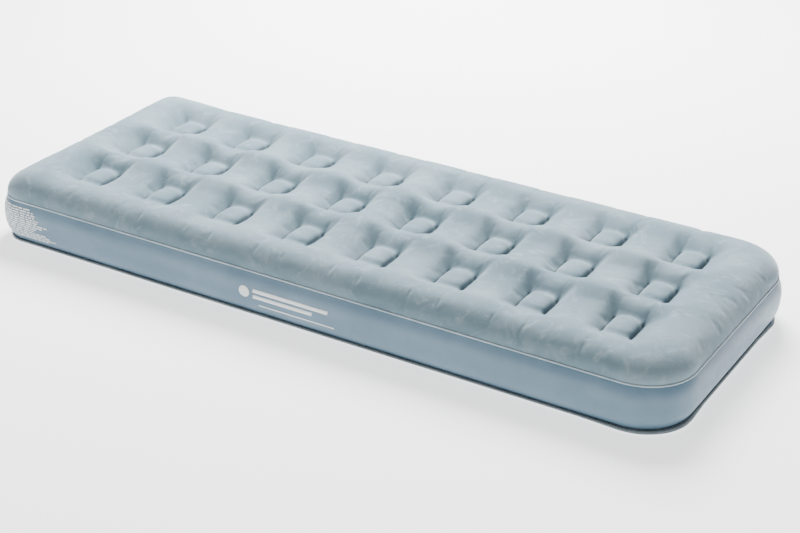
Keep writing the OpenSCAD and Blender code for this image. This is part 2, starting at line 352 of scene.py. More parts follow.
class NodeBench:
    """Builds one material's nodes."""

    def __init__(self, name: str) -> None:
        """Starts a material with only a Principled shader."""
        self.material = bpy.data.materials.new(name)
        self.material.use_nodes = True
        self.tree = self.material.node_tree
        self.shader = self.tree.nodes["Principled BSDF"]
        self.place = self.tree.nodes.new("ShaderNodeTexCoord").outputs["Object"]

    def link(self, source: bpy.types.NodeSocket, target: bpy.types.NodeSocket) -> None:
        """Joins two sockets."""
        self.tree.links.new(source, target)

    def stretched(self, scale: Sequence[float], turn: float = 0.0) -> bpy.types.NodeSocket:
        """Object coordinates scaled and turned about Z."""
        node = self.tree.nodes.new("ShaderNodeMapping")
        node.inputs["Rotation"].default_value = (0, 0, turn)
        node.inputs["Scale"].default_value = scale
        self.link(self.place, node.inputs["Vector"])
        return node.outputs["Vector"]

    def noise(self, scale: float, detail: float = 2.0, rough: float = 0.5,
              place: bpy.types.NodeSocket | None = None, distortion: float = 0.0) -> bpy.types.NodeSocket:
        """A noise texture's factor."""
        node = self.tree.nodes.new("ShaderNodeTexNoise")
        node.inputs["Scale"].default_value = scale
        node.inputs["Detail"].default_value = detail
        node.inputs["Roughness"].default_value = rough
        node.inputs["Distortion"].default_value = distortion
        self.link(place or self.place, node.inputs["Vector"])
        return node.outputs["Fac"]

    def remap(self, value: bpy.types.NodeSocket, low: float, high: float,
              to_low: float = 0.0, to_high: float = 1.0) -> bpy.types.NodeSocket:
        """Maps a value's range to another with a smooth ramp."""
        node = self.tree.nodes.new("ShaderNodeMapRange")
        node.interpolation_type = "SMOOTHSTEP"
        for socket, number in (("From Min", low), ("From Max", high), ("To Min", to_low), ("To Max", to_high)):
            node.inputs[socket].default_value = number
        self.link(value, node.inputs["Value"])
        return node.outputs["Result"]

    def math(self, operation: str, first: bpy.types.NodeSocket,
             second: bpy.types.NodeSocket | float) -> bpy.types.NodeSocket:
        """One math node."""
        node = self.tree.nodes.new("ShaderNodeMath")
        node.operation = operation
        self.link(first, node.inputs[0])
        if isinstance(second, (int, float)):
            node.inputs[1].default_value = second
        else:
            self.link(second, node.inputs[1])
        return node.outputs[0]

    def axis(self, name: str) -> bpy.types.NodeSocket:
        """One of the object coordinates, X, Y or Z."""
        node = self.tree.nodes.new("ShaderNodeSeparateXYZ")
        self.link(self.place, node.inputs[0])
        return node.outputs[name]

    def attribute(self, name: str) -> bpy.types.NodeSocket:
        """A named attribute's factor."""
        node = self.tree.nodes.new("ShaderNodeAttribute")
        node.attribute_name = name
        return node.outputs["Fac"]

    def mix(self, share: bpy.types.NodeSocket, first: Colour | bpy.types.NodeSocket,
            second: Colour | bpy.types.NodeSocket) -> bpy.types.NodeSocket:
        """Mixes two colours."""
        node = self.tree.nodes.new("ShaderNodeMix")
        node.data_type = "RGBA"
        self.link(share, node.inputs[0])
        for socket, colour in ((node.inputs[6], first), (node.inputs[7], second)):
            if isinstance(colour, tuple):
                socket.default_value = (*colour, 1.0)
            else:
                self.link(colour, socket)
        return node.outputs[2]

    def bump(self, height: bpy.types.NodeSocket, depth: float, strength: float = 1.0,
             under: bpy.types.NodeSocket | None = None) -> bpy.types.NodeSocket:
        """A bump node, over another where given."""
        node = self.tree.nodes.new("ShaderNodeBump")
        node.inputs["Strength"].default_value = strength
        node.inputs["Distance"].default_value = depth
        self.link(height, node.inputs["Height"])
        if under is not None:
            self.link(under, node.inputs["Normal"])
        return node.outputs["Normal"]

    def finish(self, colour: bpy.types.NodeSocket, roughness: bpy.types.NodeSocket | float,
               normal: bpy.types.NodeSocket | None = None, **constants: float | tuple) -> bpy.types.Material:
        """Wires the shader.

        Args:
            colour: the base colour's socket.
            roughness: a socket, or a number that is the same all over.
            normal: the bumped normal, where there is one.
            **constants: shader sockets by name, with _ for a blank.

        Returns:
            The finished material.
        """
        self.link(colour, self.shader.inputs["Base Color"])
        if isinstance(roughness, (int, float)):
            self.shader.inputs["Roughness"].default_value = roughness
        else:
            self.link(roughness, self.shader.inputs["Roughness"])
        if normal is not None:
            self.link(normal, self.shader.inputs["Normal"])
        for name, value in constants.items():
            self.shader.inputs[name.replace("_", " ")].default_value = value
        return self.material


@dataclass(frozen=True)
class FlockFinish:
    """Short velour pile on vinyl: matt and cloudy where the nap is brushed, with painted shade in the dimples'
    bowls, low on the shoulders and at the welded slots.
    """

    shade: Colour = (0.165, 0.245, 0.290)
    body: Colour = (0.220, 0.305, 0.350)
    brushed: Colour = (0.345, 0.445, 0.490)
    # the next two colours are painted shade: one for the bowls and the low shoulders, one near-black for the welded
    # slots
    painted_shade: Colour = (0.110, 0.175, 0.215)
    painted_slot_shade: Colour = (0.035, 0.060, 0.075)

    def material(self) -> bpy.types.Material:
        """Builds the node material."""
        bench = NodeBench("flocked_velour")
        clouds = bench.noise(7.0, 4.0, 0.55, distortion=0.4)
        patches = bench.noise(22.0, 6.0, 0.68, distortion=1.4)
        colour = bench.mix(bench.remap(clouds, 0.38, 0.62), self.shade, self.body)
        colour = bench.mix(bench.remap(patches, 0.5, 0.72, 0.0, 0.6), colour, self.brushed)
        strokes = bench.noise(1.0, 5.0, 0.65, bench.stretched((70.0, 220.0, 120.0), 0.5), 1.5)
        where = bench.remap(bench.noise(5.5, 3.0, 0.6), 0.5, 0.68)
        foot_end = bench.remap(bench.axis("X"), 0.45, 0.9, 0.3, 1.0)
        marks = bench.math("MULTIPLY", bench.remap(strokes, 0.55, 0.72, 0.0, 0.8), where)
        colour = bench.mix(bench.math("MULTIPLY", marks, foot_end), colour, self.brushed)
        # painted shade: the bowls round the slots are darkened towards the shade colour
        colour = bench.mix(bench.remap(bench.attribute("bowl"), 0.0, 1.0, 0.0, 0.3), colour, self.painted_shade)
        # painted shade: the shoulder low down by the top weld is darkened
        colour = bench.mix(bench.remap(bench.axis("Z"), 118 * MM, 160 * MM, 0.3, 0.0), colour, self.painted_shade)
        # painted shade: near-black at the welded slots, where the slot walls meet
        colour = bench.mix(bench.remap(bench.attribute("painted_slot_shade"), 0.0, 1.0, 0.0, 0.85), colour, self.painted_slot_shade)
        pile = bench.noise(1400.0, 2.0, 0.7)
        colour = bench.mix(bench.remap(pile, 0.3, 0.75, 0.0, 0.14), colour, self.shade)
        nap = bench.noise(160.0, 3.0, 0.6, distortion=0.8)
        soft = bench.bump(nap, 0.6 * MM, 0.5)
        normal = bench.bump(pile, 0.25 * MM, 0.6, soft)
        return bench.finish(
            colour, 0.95, normal,
            Sheen_Weight=0.45, Sheen_Roughness=0.45, Sheen_Tint=(0.86, 0.93, 0.95, 1.0), Specular_IOR_Level=0.15,
        )


@dataclass(frozen=True)
class VinylFinish:
    """Satin calendered vinyl with faint clouding and a fine leather-like emboss."""

    name: str
    dark: Colour
    light: Colour
    roughness: float = 0.42
    emboss: float = 0.08 * MM

    def material(self) -> bpy.types.Material:
        """Builds the node material."""
        bench = NodeBench(self.name)
        colour = bench.mix(bench.remap(bench.noise(9.0, 4.0, 0.55), 0.3, 0.72), self.dark, self.light)
        speck = bench.noise(420.0, 2.0, 0.6)
        colour = bench.mix(bench.remap(speck, 0.62, 0.85, 0.0, 0.12), colour, self.light)
        rough = bench.remap(bench.noise(60.0, 3.0, 0.6), 0.25, 0.8, self.roughness - 0.06, self.roughness + 0.08)
        grain = bench.noise(900.0, 2.0, 0.55)
        ripple = bench.bump(bench.noise(34.0, 2.0, 0.5), 0.9 * MM, 0.35)
        normal = bench.bump(grain, self.emboss, 0.5, ripple)
        return bench.finish(colour, rough, normal, Specular_IOR_Level=0.45)


@dataclass(frozen=True)
class MouldedFinish:
    """Moulded plastic or silicone with a fine spark-eroded grain."""

    name: str
    dark: Colour
    light: Colour
    roughness: float = 0.5
    subsurface: float = 0.0

    def material(self) -> bpy.types.Material:
        """Builds the node material."""
        bench = NodeBench(self.name)
        colour = bench.mix(bench.remap(bench.noise(120.0, 3.0, 0.6), 0.3, 0.75), self.dark, self.light)
        rough = bench.remap(bench.noise(300.0, 2.0, 0.6), 0.2, 0.8, self.roughness - 0.08, self.roughness + 0.1)
        normal = bench.bump(bench.noise(2600.0, 2.0, 0.6), 0.05 * MM, 0.45)
        return bench.finish(colour, rough, normal, Subsurface_Weight=self.subsurface,
                            Subsurface_Scale=2 * MM, Specular_IOR_Level=0.4)


@dataclass(frozen=True)
class InkFinish:
    """Screen-printed white ink with thin worn spots."""

    ink: Colour = (0.80, 0.82, 0.83)
    worn: Colour = (0.60, 0.66, 0.70)

    def material(self) -> bpy.types.Material:
        """Builds the node material."""
        bench = NodeBench("printed_ink")
        colour = bench.mix(bench.remap(bench.noise(340.0, 3.0, 0.65), 0.5, 0.8), self.ink, self.worn)
        normal = bench.bump(bench.noise(1500.0), 0.03 * MM, 0.4)
        return bench.finish(colour, 0.5, normal, Specular_IOR_Level=0.35)


def dress(piece: bpy.types.Object, material: bpy.types.Material) -> None:
    """Gives a piece its only material."""
    piece.data.materials.clear()
    piece.data.materials.append(material)


# ---------------------------------------------------------------- the flocked top


def corner_angle(out_x: np.ndarray, out_y: np.ndarray) -> np.ndarray:
    """Direction, seen from a corner's centre, that a square ring's places take when it is made round."""
    ring = np.maximum(np.maximum(out_x, out_y), 1e-9)
    share = np.where(out_x >= out_y, out_y / ring, 2 - out_x / ring)
    in_corner = (out_x > 0) & (out_y > 0)
    return np.where(in_corner, share * math.pi / 4, np.where(out_x >= out_y, 0, math.pi / 2))


def round_corners(bed: BedShape, flat_x: np.ndarray, flat_y: np.ndarray, ring: np.ndarray, angle: np.ndarray,
                  radius: np.ndarray) -> tuple[np.ndarray, np.ndarray]:
    """Places a rectangle's grid lines on rounded rectangles.

    Args:
        bed: the bed's sizes.
        flat_x: the grid's x values.
        flat_y: the grid's y values.
        ring: how far each place is past the core.
        angle: each place's direction from its corner's centre.
        radius: how far from the core each place goes.

    Returns:
        The x and y values in plan.
    """
    corner = bed.corner_at(flat_x)
    foot_x = np.minimum(np.abs(flat_x), bed.length / 2 - corner)
    foot_y = np.minimum(np.abs(flat_y), bed.width / 2 - corner)
    plan_x = np.where(ring > 0, foot_x + radius * np.cos(angle), np.abs(flat_x)) * np.sign(flat_x)
    plan_y = np.where(ring > 0, foot_y + radius * np.sin(angle), np.abs(flat_y)) * np.sign(flat_y)
    return plan_x, plan_y


@dataclass
class FlockedTop:
    """The flocked sheet: held at the weld round its edge and at two slots in each dimple, and blown up between."""

    bed: BedShape
    edge_run: float = 52 * MM
    overhang: float = 6.0
    crest_inset: float = 98 * MM
    edge_drop: float = 13 * MM
    saddle_drop: float = 5 * MM
    plan_cell: float = 2.5 * MM
    bowl_drop: float = 8 * MM
    end_power: float = 1.0
    side_power: float = 0.9
    bowl_share: float = 0.45
    bowl_reach: float = 60 * MM
    tongue_half: float = 38 * MM
    tongue_rise: float = 20 * MM
    trough_rise: float = 14 * MM
    head_lift: float = 7 * MM
    cloth_frames: int = 12
    most_move: float = 4.5 * MM
    sweeps: int = 260

    def shoulder(self, angle: np.ndarray | float) -> tuple[np.ndarray, np.ndarray]:
        """The sheet's rounded edge as an ellipse.

        Args:
            angle: from -overhang degrees at the weld to 90 at the crown.

        Returns:
            The inset and the height.
        """
        radians = np.radians(angle)
        crest = self.bed.height - self.edge_drop
        reach = (self.crest_inset - self.bed.top_tuck) / math.cos(math.radians(self.overhang))
        rise = (crest - self.bed.top_weld_high) / (1 + math.sin(math.radians(self.overhang)))
        return self.crest_inset - reach * np.cos(radians), crest - rise * (1 - np.sin(radians))

    def edge_table(self) -> tuple[np.ndarray, np.ndarray, np.ndarray]:
        """Distance run from the weld, inset and height along the edge, up to edge_run in."""
        insets, heights = self.shoulder(np.linspace(-self.overhang, 90, 400))
        run = np.concatenate([[0], np.cumsum(np.hypot(np.diff(insets), np.diff(heights)))])
        last = np.nonzero(insets <= self.edge_run)[0][-1] + 1
        return run[:last], insets[:last], heights[:last]

    def inset_of(self, px: np.ndarray, py: np.ndarray) -> np.ndarray:
        """How far places in plan are in from the widest outline."""
        out_x, out_y = self.bed.past_core(px, py)
        in_corner = (out_x > 0) & (out_y > 0)
        return self.bed.corner_at(px) - np.where(in_corner, np.hypot(out_x, out_y), np.maximum(out_x, out_y))

    def sag(self, px: np.ndarray, py: np.ndarray) -> np.ndarray:
        """How far the skin between dimples lies below the crowns, most in the saddles and along the edge."""
        bed = self.bed
        reach_x = np.minimum(np.abs(px), bed.columns * bed.pitch_x / 2)
        reach_y = np.minimum(np.abs(py), bed.rows * bed.pitch_y / 2)
        wave_y = (1 + np.cos(2 * np.pi * (reach_y / bed.pitch_y - (bed.rows - 1) / 2))) / 2
        wave_x = (1 + np.cos(2 * np.pi * (reach_x / bed.pitch_x - (bed.columns - 1) / 2))) / 2
        rim = np.clip(1 - (self.inset_of(px, py) - self.crest_inset) / (110 * MM), 0, 1)
        edge = ease(rim)
        drop = wave_x * (self.saddle_drop + self.bowl_drop * wave_y)
        return drop * (1 - edge * 0.5) + self.edge_drop * edge

    def dimple_plan(self, px: np.ndarray, py: np.ndarray) -> tuple[np.ndarray, np.ndarray]:
        """Places measured from their nearest dimple's centre, in shares of the tongue's half width and length."""
        bed = self.bed
        column = np.clip(np.round(px / bed.pitch_x + (bed.columns - 1) / 2), 0, bed.columns - 1)
        row = np.clip(np.round(py / bed.pitch_y + (bed.rows - 1) / 2), 0, bed.rows - 1)
        across = np.abs(px - (column - (bed.columns - 1) / 2) * bed.pitch_x) / (bed.slot_gap / 2)
        along = np.abs(py - (row - (bed.rows - 1) / 2) * bed.pitch_y) / self.tongue_half
        return across, along

    @staticmethod
    def arch(across: np.ndarray) -> np.ndarray:
        """Section of the bolster, from 1 over its middle to 0 at its slots."""
        return (1 - np.clip(across, 0, 1) ** 3.2) ** 0.5

    def tongue(self, across: np.ndarray, along: np.ndarray) -> np.ndarray:
        """Height over the dimple's floor of the bolster that stands between a dimple's two slots."""
        dome = np.clip(1 - across ** 3.2 - along ** 4, 0, 1) ** 0.5
        return self.trough_rise * self.arch(across) + (self.tongue_rise - self.trough_rise) * dome

    def swell(self) -> tuple[np.ndarray, np.ndarray, np.ndarray]:
        """Solves how high a stretched skin stands between its dimples, from a coarse grid to a fine one.

        Returns:
            The plan grid's x and y values, and the heights on it.
        """
        bed = self.bed
        depth = bed.height - bed.dimple_floor
        guess: tuple | None = None
        for step in (8, 4, 2, 1):
            cell = self.plan_cell * step
            count_x, count_y = math.ceil(bed.length / 2 / cell), math.ceil(bed.width / 2 / cell)
            xs, ys = np.arange(-count_x, count_x + 1) * cell, np.arange(-count_y, count_y + 1) * cell
            px, py = np.meshgrid(xs, ys, indexing="ij")
            inset = self.inset_of(px, py)
            _, edge_insets, edge_heights = self.edge_table()
            edge = (np.interp(inset, edge_insets, edge_heights) - bed.dimple_floor) / depth
            across, along = self.dimple_plan(px, py)
            inside = (across <= 1 + cell * 0.3 / bed.slot_gap) & (along <= 1)
            power = self.end_power + (self.side_power - self.end_power) * np.exp(-(along / 1.15) ** 4)
            floor = np.clip(self.tongue(across, along) / depth, 0, 1) ** (1 / power)
            held = (inset <= self.edge_run) | inside
            edge = edge * depth / (depth - self.sag(px, py))
            fixed = np.where(inside, floor, np.sign(edge) * np.abs(edge) ** (1 / power))
            start = [fixed * 0 + 1, fixed * 0] if guess is None else [bilinear(g, px, py) for g in guess]
            flat = self.relax(start[0], fixed, held, 0.0, cell)
            pushed = self.relax(start[1], np.zeros_like(fixed), held, 1.0, cell)
            guess = ((xs, ys, flat), (xs, ys, pushed))
        # the load is set so that the skin half way between four dimples reaches full height
        crown = (np.abs(px) < 2 * cell) & (np.abs(np.abs(py) - bed.pitch_y / 2) < 2 * cell)
        load = (1 - flat[crown].mean()) / pushed[crown].mean()
        share = np.clip(flat + load * pushed, -0.5, None)
        share = np.where(share > 1, 1 + 0.1 * np.tanh((share - 1) / 0.1) * 0.4, share)
        share = np.sign(share) * np.abs(share) ** power
        beside = np.maximum(across - 1, 0) * bed.slot_gap / 2
        beyond = np.maximum(along - 1, 0) * self.tongue_half
        bowl = np.sin(np.pi / 2 * np.clip(np.hypot(beside, beyond) / self.bowl_reach, 0, 1))
        trough = self.trough_rise / depth * self.arch(across) * np.clip(1 - beyond / (45 * MM), 0, 1)
        share = trough + (share - trough) * (1 - self.bowl_share * (1 - bowl))
        height = bed.dimple_floor + (depth - self.sag(px, py)) * share
        return xs, ys, np.where(inside, bed.dimple_floor + self.tongue(across, along), height)

    def relax(self, height: np.ndarray, fixed: np.ndarray, held: np.ndarray, push: float,
              cell: float) -> np.ndarray:
        """Repeats the mean of four neighbours plus a push, with held cells kept."""
        lift = push * cell ** 2 / 4
        for _ in range(self.sweeps):
            along_x = np.roll(height, 1, 0) + np.roll(height, -1, 0)
            mean = (along_x + np.roll(height, 1, 1) + np.roll(height, -1, 1)) / 4
            height = np.where(held, fixed, mean + lift)
        return height

    def grid_lines(self) -> tuple[np.ndarray, np.ndarray, float]:
        """Lines of the flat cut, closest beside the slots, and how much further out than the bed the cut goes."""
        bed = self.bed
        run, insets, _ = self.edge_table()
        reach = run[-1] - insets[-1]
        half_x, half_y = bed.length / 2, bed.width / 2
        half_gap = bed.slot_gap / 2
        steps = np.array([0.0, 3.5, 8.5, 15.5, 24.5, 35.0]) * MM
        slot_x = np.array(sorted({round(x, 6) for x, _ in bed.slots()}))
        right = [0.0]
        for x in slot_x[slot_x > 0]:
            right += [x - step for step in steps] + [x + step for step in steps]
        last = slot_x[-1] + half_gap
        right += list(np.linspace(last, half_x + reach, 15))
        right_x = np.array(sorted({round(x, 5) for x in right if x >= 0}))
        slot_half = bed.slot_length / 2
        top_row = bed.pitch_y
        marks = ((0, slot_half, 5), (slot_half, top_row - slot_half, 14),
                 (top_row - slot_half, top_row + slot_half, 10), (top_row + slot_half, half_y + reach, 18))
        right_y = np.unique(np.round(np.concatenate([np.linspace(a, b, n + 1) for a, b, n in marks]), 6))
        return (np.concatenate([-right_x[:0:-1], right_x]), np.concatenate([-right_y[:0:-1], right_y]), reach)

    def build(self) -> bpy.types.Object:
        """Makes the swollen sheet, blows it up as cloth, and creases it."""
        xs, ys, reach = self.grid_lines()
        flat_x, flat_y = np.meshgrid(xs, ys)
        corner = self.bed.corner_at(flat_x)
        out_x, out_y = self.bed.past_core(flat_x, flat_y)
        ring = np.maximum(out_x, out_y)
        angle = corner_angle(out_x, out_y)
        run = np.clip(reach + corner - ring, 0, None)
        edge_runs, edge_insets, edge_heights = self.edge_table()
        inset = np.where(run <= edge_runs[-1], np.interp(run, edge_runs, edge_insets),
                         edge_insets[-1] + run - edge_runs[-1])
        plan_x, plan_y = round_corners(self.bed, flat_x, flat_y, ring, angle, corner - inset)
        height = np.where(run <= edge_runs[-1], np.interp(run, edge_runs, edge_heights),
                          bilinear(self.swell(), plan_x, plan_y))
        to_head = np.clip((-plan_x - 0.68) / 0.2, 0, 1)
        up_from_weld = np.clip((height - self.bed.top_weld_high) / (50 * MM), 0, 1)
        height = height + self.head_lift * to_head * up_from_weld
        piece = shaped_grid("FlockedTop", len(xs), np.stack([plan_x, plan_y, height], axis=-1))
        on_slot = self.hold(piece, run.reshape(-1))
        self.blow_up(piece)
        self.sharpen(piece, on_slot)
        self.crease(piece)
        return piece

    def hold(self, piece: bpy.types.Object, run: np.ndarray) -> np.ndarray:
        """Groups the vertices that the welds hold.

        Args:
            piece: the sheet.
            run: each vertex's distance from the edge weld.

        Returns:
            Which vertices lie on a slot.
        """
        places = read_vertices(piece)
        on_slot = np.zeros(len(places), bool)
        for sx, sy in self.bed.slots():
            near = np.abs(places[:, 0] - sx) < 1 * MM
            on_slot |= near & (np.abs(places[:, 1] - sy) <= self.bed.slot_length / 2 + 0.1 * MM)
        group = piece.vertex_groups.new(name="welded")
        group.add(np.nonzero(on_slot | (run < 6 * MM))[0].tolist(), 1.0, "REPLACE")
        return on_slot

    def blow_up(self, piece: bpy.types.Object) -> None:
        """Runs the sheet as cloth under air pressure and keeps the capped result."""
        start = read_vertices(piece)
        modifier = piece.modifiers.new("Cloth", "CLOTH")
        cloth = modifier.settings
        cloth.quality = 5
        cloth.mass = 0.25
        cloth.tension_stiffness = 25
        cloth.compression_stiffness = 25
        cloth.shear_stiffness = 8
        cloth.bending_stiffness = 0.4
        cloth.tension_damping = 15
        cloth.compression_damping = 15
        cloth.vertex_group_mass = "welded"
        cloth.use_pressure = True
        cloth.uniform_pressure_force = 6.0
        cloth.shrink_min = -0.012
        cloth.effector_weights.gravity = 0
        modifier.collision_settings.use_collision = False
        modifier.collision_settings.use_self_collision = False
        modifier.point_cache.frame_end = self.cloth_frames
        scene = bpy.context.scene
        for frame_number in range(1, self.cloth_frames + 1):
            scene.frame_set(frame_number)
        blown = piece.evaluated_get(bpy.context.evaluated_depsgraph_get())
        places = np.empty(len(start) * 3, np.float32)
        blown.data.vertices.foreach_get("co", places)
        move = places.reshape(-1, 3).astype(float) - start
        piece.modifiers.remove(modifier)
        scene.frame_set(1)
        far = np.linalg.norm(move, axis=1)
        LOG.info("cloth: mean move %.1f mm, most %.1f mm", far.mean() / MM, far.max() / MM)
        cap = self.most_move * np.tanh(far / self.most_move)
        move *= (cap / np.maximum(far, 1e-9))[:, None]
        place_vertices(piece, start + move)

    def sharpen(self, piece: bpy.types.Object, on_slot: np.ndarray) -> None:
        """Smooths the sheet but keeps the welded slots sharp."""
        edges = np.empty(len(piece.data.edges) * 2, np.int32)
        piece.data.edges.foreach_get("vertices", edges)
        pairs = edges.reshape(-1, 2)
        sharp = piece.data.attributes.new("crease_edge", "FLOAT", "EDGE")
        sharp.data.foreach_set("value", (on_slot[pairs[:, 0]] & on_slot[pairs[:, 1]]).astype(np.float32))
        smooth = piece.modifiers.new("Smooth", "SUBSURF")
        smooth.levels = smooth.render_levels = 1
        apply_modifiers(piece)

    def crease(self, piece: bpy.types.Object) -> None:
        """Presses fine creases that fan out from the slots' ends."""
        draw = np.random.default_rng(21)
        places = read_vertices(piece)
        sink = np.zeros(len(places))
        for sx, sy in self.bed.slots():
            for end in (-1, 1):
                for _ in range(3):
                    angle = math.radians(draw.uniform(10, 65)) * end
                    direction = np.array([draw.choice((-1, 1)) * math.cos(angle), math.sin(angle)])
                    start = np.array([sx, sy + end * self.bed.slot_length / 2])
                    sink += self.groove(places, start, direction, draw.uniform(25, 60) * MM,
                                        draw.uniform(2.5, 4.5) * MM, draw.uniform(0.2, 0.6) * MM)
        places[:, 2] -= sink
        place_vertices(piece, places)
        self.mark_shade_masks(piece, places)

    def mark_shade_masks(self, piece: bpy.types.Object, places: np.ndarray) -> None:
        """Stores how hollow the sheet is at each vertex, and how near a welded slot, as masks for the shade painted
        into the flock's colour.
        """
        bed = self.bed
        near = np.full(len(places), 1.0)
        for slot in bed.slots():
            near = np.minimum(near, away_from_slot(bed, slot, places[:, 0], places[:, 1]))
        # masks for painted shade: near-black close to the slots, and a broad band over the bowls
        painted_slot_shade = np.exp(-(near / (5 * MM)) ** 2)
        bowl = np.clip(1 - (near - 6 * MM) / (62 * MM), 0, 1) * np.clip(near / (14 * MM), 0, 1)
        for name, values in (("painted_slot_shade", painted_slot_shade), ("bowl", bowl)):
            layer = piece.data.attributes.new(name, "FLOAT", "POINT")
            layer.data.foreach_set("value", values.astype(np.float32))

    @staticmethod
    def groove(places: np.ndarray, start: np.ndarray, direction: np.ndarray, length: float, width: float,
               depth: float) -> np.ndarray:
        """How deep one straight, fading crease sinks each place."""
        along = (places[:, :2] - start) @ direction
        across = (places[:, :2] - start) @ np.array([-direction[1], direction[0]])
        share = np.clip(along / length, 0, 1)
        fade = np.where((along > 0) & (along < length), np.sin(np.pi * share ** 0.6), 0)
        bend = across + 3 * MM * np.sin(share * 3)
        return depth * fade * np.exp(-(bend / width) ** 2)


def bilinear(table: tuple[np.ndarray, np.ndarray, np.ndarray], x: np.ndarray, y: np.ndarray) -> np.ndarray:
    """Reads a regular table between its points."""
    xs, ys, values = table
    fx = np.clip((x - xs[0]) / (xs[1] - xs[0]), 0, len(xs) - 1.001)
    fy = np.clip((y - ys[0]) / (ys[1] - ys[0]), 0, len(ys) - 1.001)
    ix, iy = fx.astype(int), fy.astype(int)
    tx, ty = fx - ix, fy - iy
    low = values[ix, iy] * (1 - tx) + values[ix + 1, iy] * tx
    high = values[ix, iy + 1] * (1 - tx) + values[ix + 1, iy + 1] * tx
    return low * (1 - ty) + high * ty


# ---------------------------------------------------------------- wall, underside and welds


@dataclass
class SideWall:
    """The satin band round the bed, drawn in at both welds, full between them and flat about the valve."""

    FLAT_OUT_TO = 32 * MM
    BLEND = 19 * MM


    bed: BedShape
    points: int = 720
    fullness: float = 4 * MM
    widest: float = 72 * MM
    valve_patch: float = 2.0
    valve_lines: int = 24

    def inset(self, height: np.ndarray | float) -> np.ndarray:
        """How far the band is drawn in at a height."""
        bed = self.bed
        low = np.clip((self.widest - np.asarray(height)) / (self.widest - bed.foot_weld_high), 0, 1)
        high = np.clip((np.asarray(height) - self.widest) / (bed.top_weld_low - self.widest), 0, 1)
        full = -self.fullness * (1 - low ** 2.2 - high ** 2.2)
        return full + (bed.foot_tuck + self.fullness) * low ** 2.4 + bed.top_tuck * high ** 2.6

    def place(self, outline: Outline, run: np.ndarray, height: np.ndarray, lift: float) -> np.ndarray:
        """Places on the band, stood off by a lift, as an array of (x, y, z)."""
        run, height = run.reshape(-1), height.reshape(-1)
        edge, normals = outline.edge_at(run)
        away = np.hypot(run - outline.head_middle(), height - self.bed.valve_height)
        free = np.clip((away - self.FLAT_OUT_TO) / self.BLEND, 0, 1)
        reach = (self.ripple(run, height) - self.inset(height)) * ease(free)
        return np.column_stack([edge + normals * (reach + lift)[:, None], height])

    def ripple(self, run: np.ndarray, height: np.ndarray) -> np.ndarray:
        """Slight unevenness of the band, none at its welds."""
        wave = Wobble(11, 12, 0.06, 0.6).over(np.column_stack([run, height * 2]))
        share = (height - self.bed.foot_weld_high) / (self.bed.top_weld_low - self.bed.foot_weld_high)
        return wave * 0.9 * MM * np.clip(np.sin(np.pi * share), 0, 1)

    def build(self) -> bpy.types.Object:
        """Makes the band and cuts its round valve hole.

        The band's lines are closer about the hole, and they go over from squares to circles towards it.
        """
        bed = self.bed
        outline = Outline(bed, self.points)
        middle, hole = outline.head_middle(), bed.valve_hole
        patch = hole * self.valve_patch
        lines = np.linspace(-patch, patch, self.valve_lines + 1)
        turn = np.linspace(0, outline.total, self.points + 1)
        before, after = turn[turn < middle - patch - 1 * MM], turn[turn > middle + patch + 1 * MM]
        turn = np.concatenate([before, middle + lines, after])
        heights = np.concatenate([np.linspace(bed.foot_weld_high, bed.valve_height - patch, 6)[:-1],
                                  bed.valve_height + lines,
                                  np.linspace(bed.valve_height + patch, bed.top_weld_low, 5)[1:]])
        run, height = np.meshgrid(turn, heights)
        square = np.maximum(np.abs(run - middle), np.abs(height - bed.valve_height))
        share = np.clip((square - hole) / (patch - hole), 0, 1)
        round_off = square / np.maximum(np.hypot(run - middle, height - bed.valve_height), 1e-9)
        scale = round_off + (1 - round_off) * share
        places = self.place(outline, middle + (run - middle) * scale,
                            bed.valve_height + (height - bed.valve_height) * scale, 0.0)
        piece = shaped_grid("SideWall", len(turn), places)
        self.cut(piece, (square < hole - 0.1 * MM).reshape(-1))
        clean_faces(piece)
        return piece

    @staticmethod
    def cut(piece: bpy.types.Object, gone: np.ndarray) -> None:
        """Deletes the vertices that lie in the hole, with their faces."""
        activate(piece)
        bpy.ops.object.mode_set(mode="EDIT")
        bpy.ops.mesh.select_mode(type="VERT")
        bpy.ops.mesh.select_all(action="DESELECT")
        bpy.ops.object.mode_set(mode="OBJECT")
        piece.data.vertices.foreach_set("select", gone)
        bpy.ops.object.mode_set(mode="EDIT")
        bpy.ops.mesh.delete(type="VERT")
        bpy.ops.object.mode_set(mode="OBJECT")


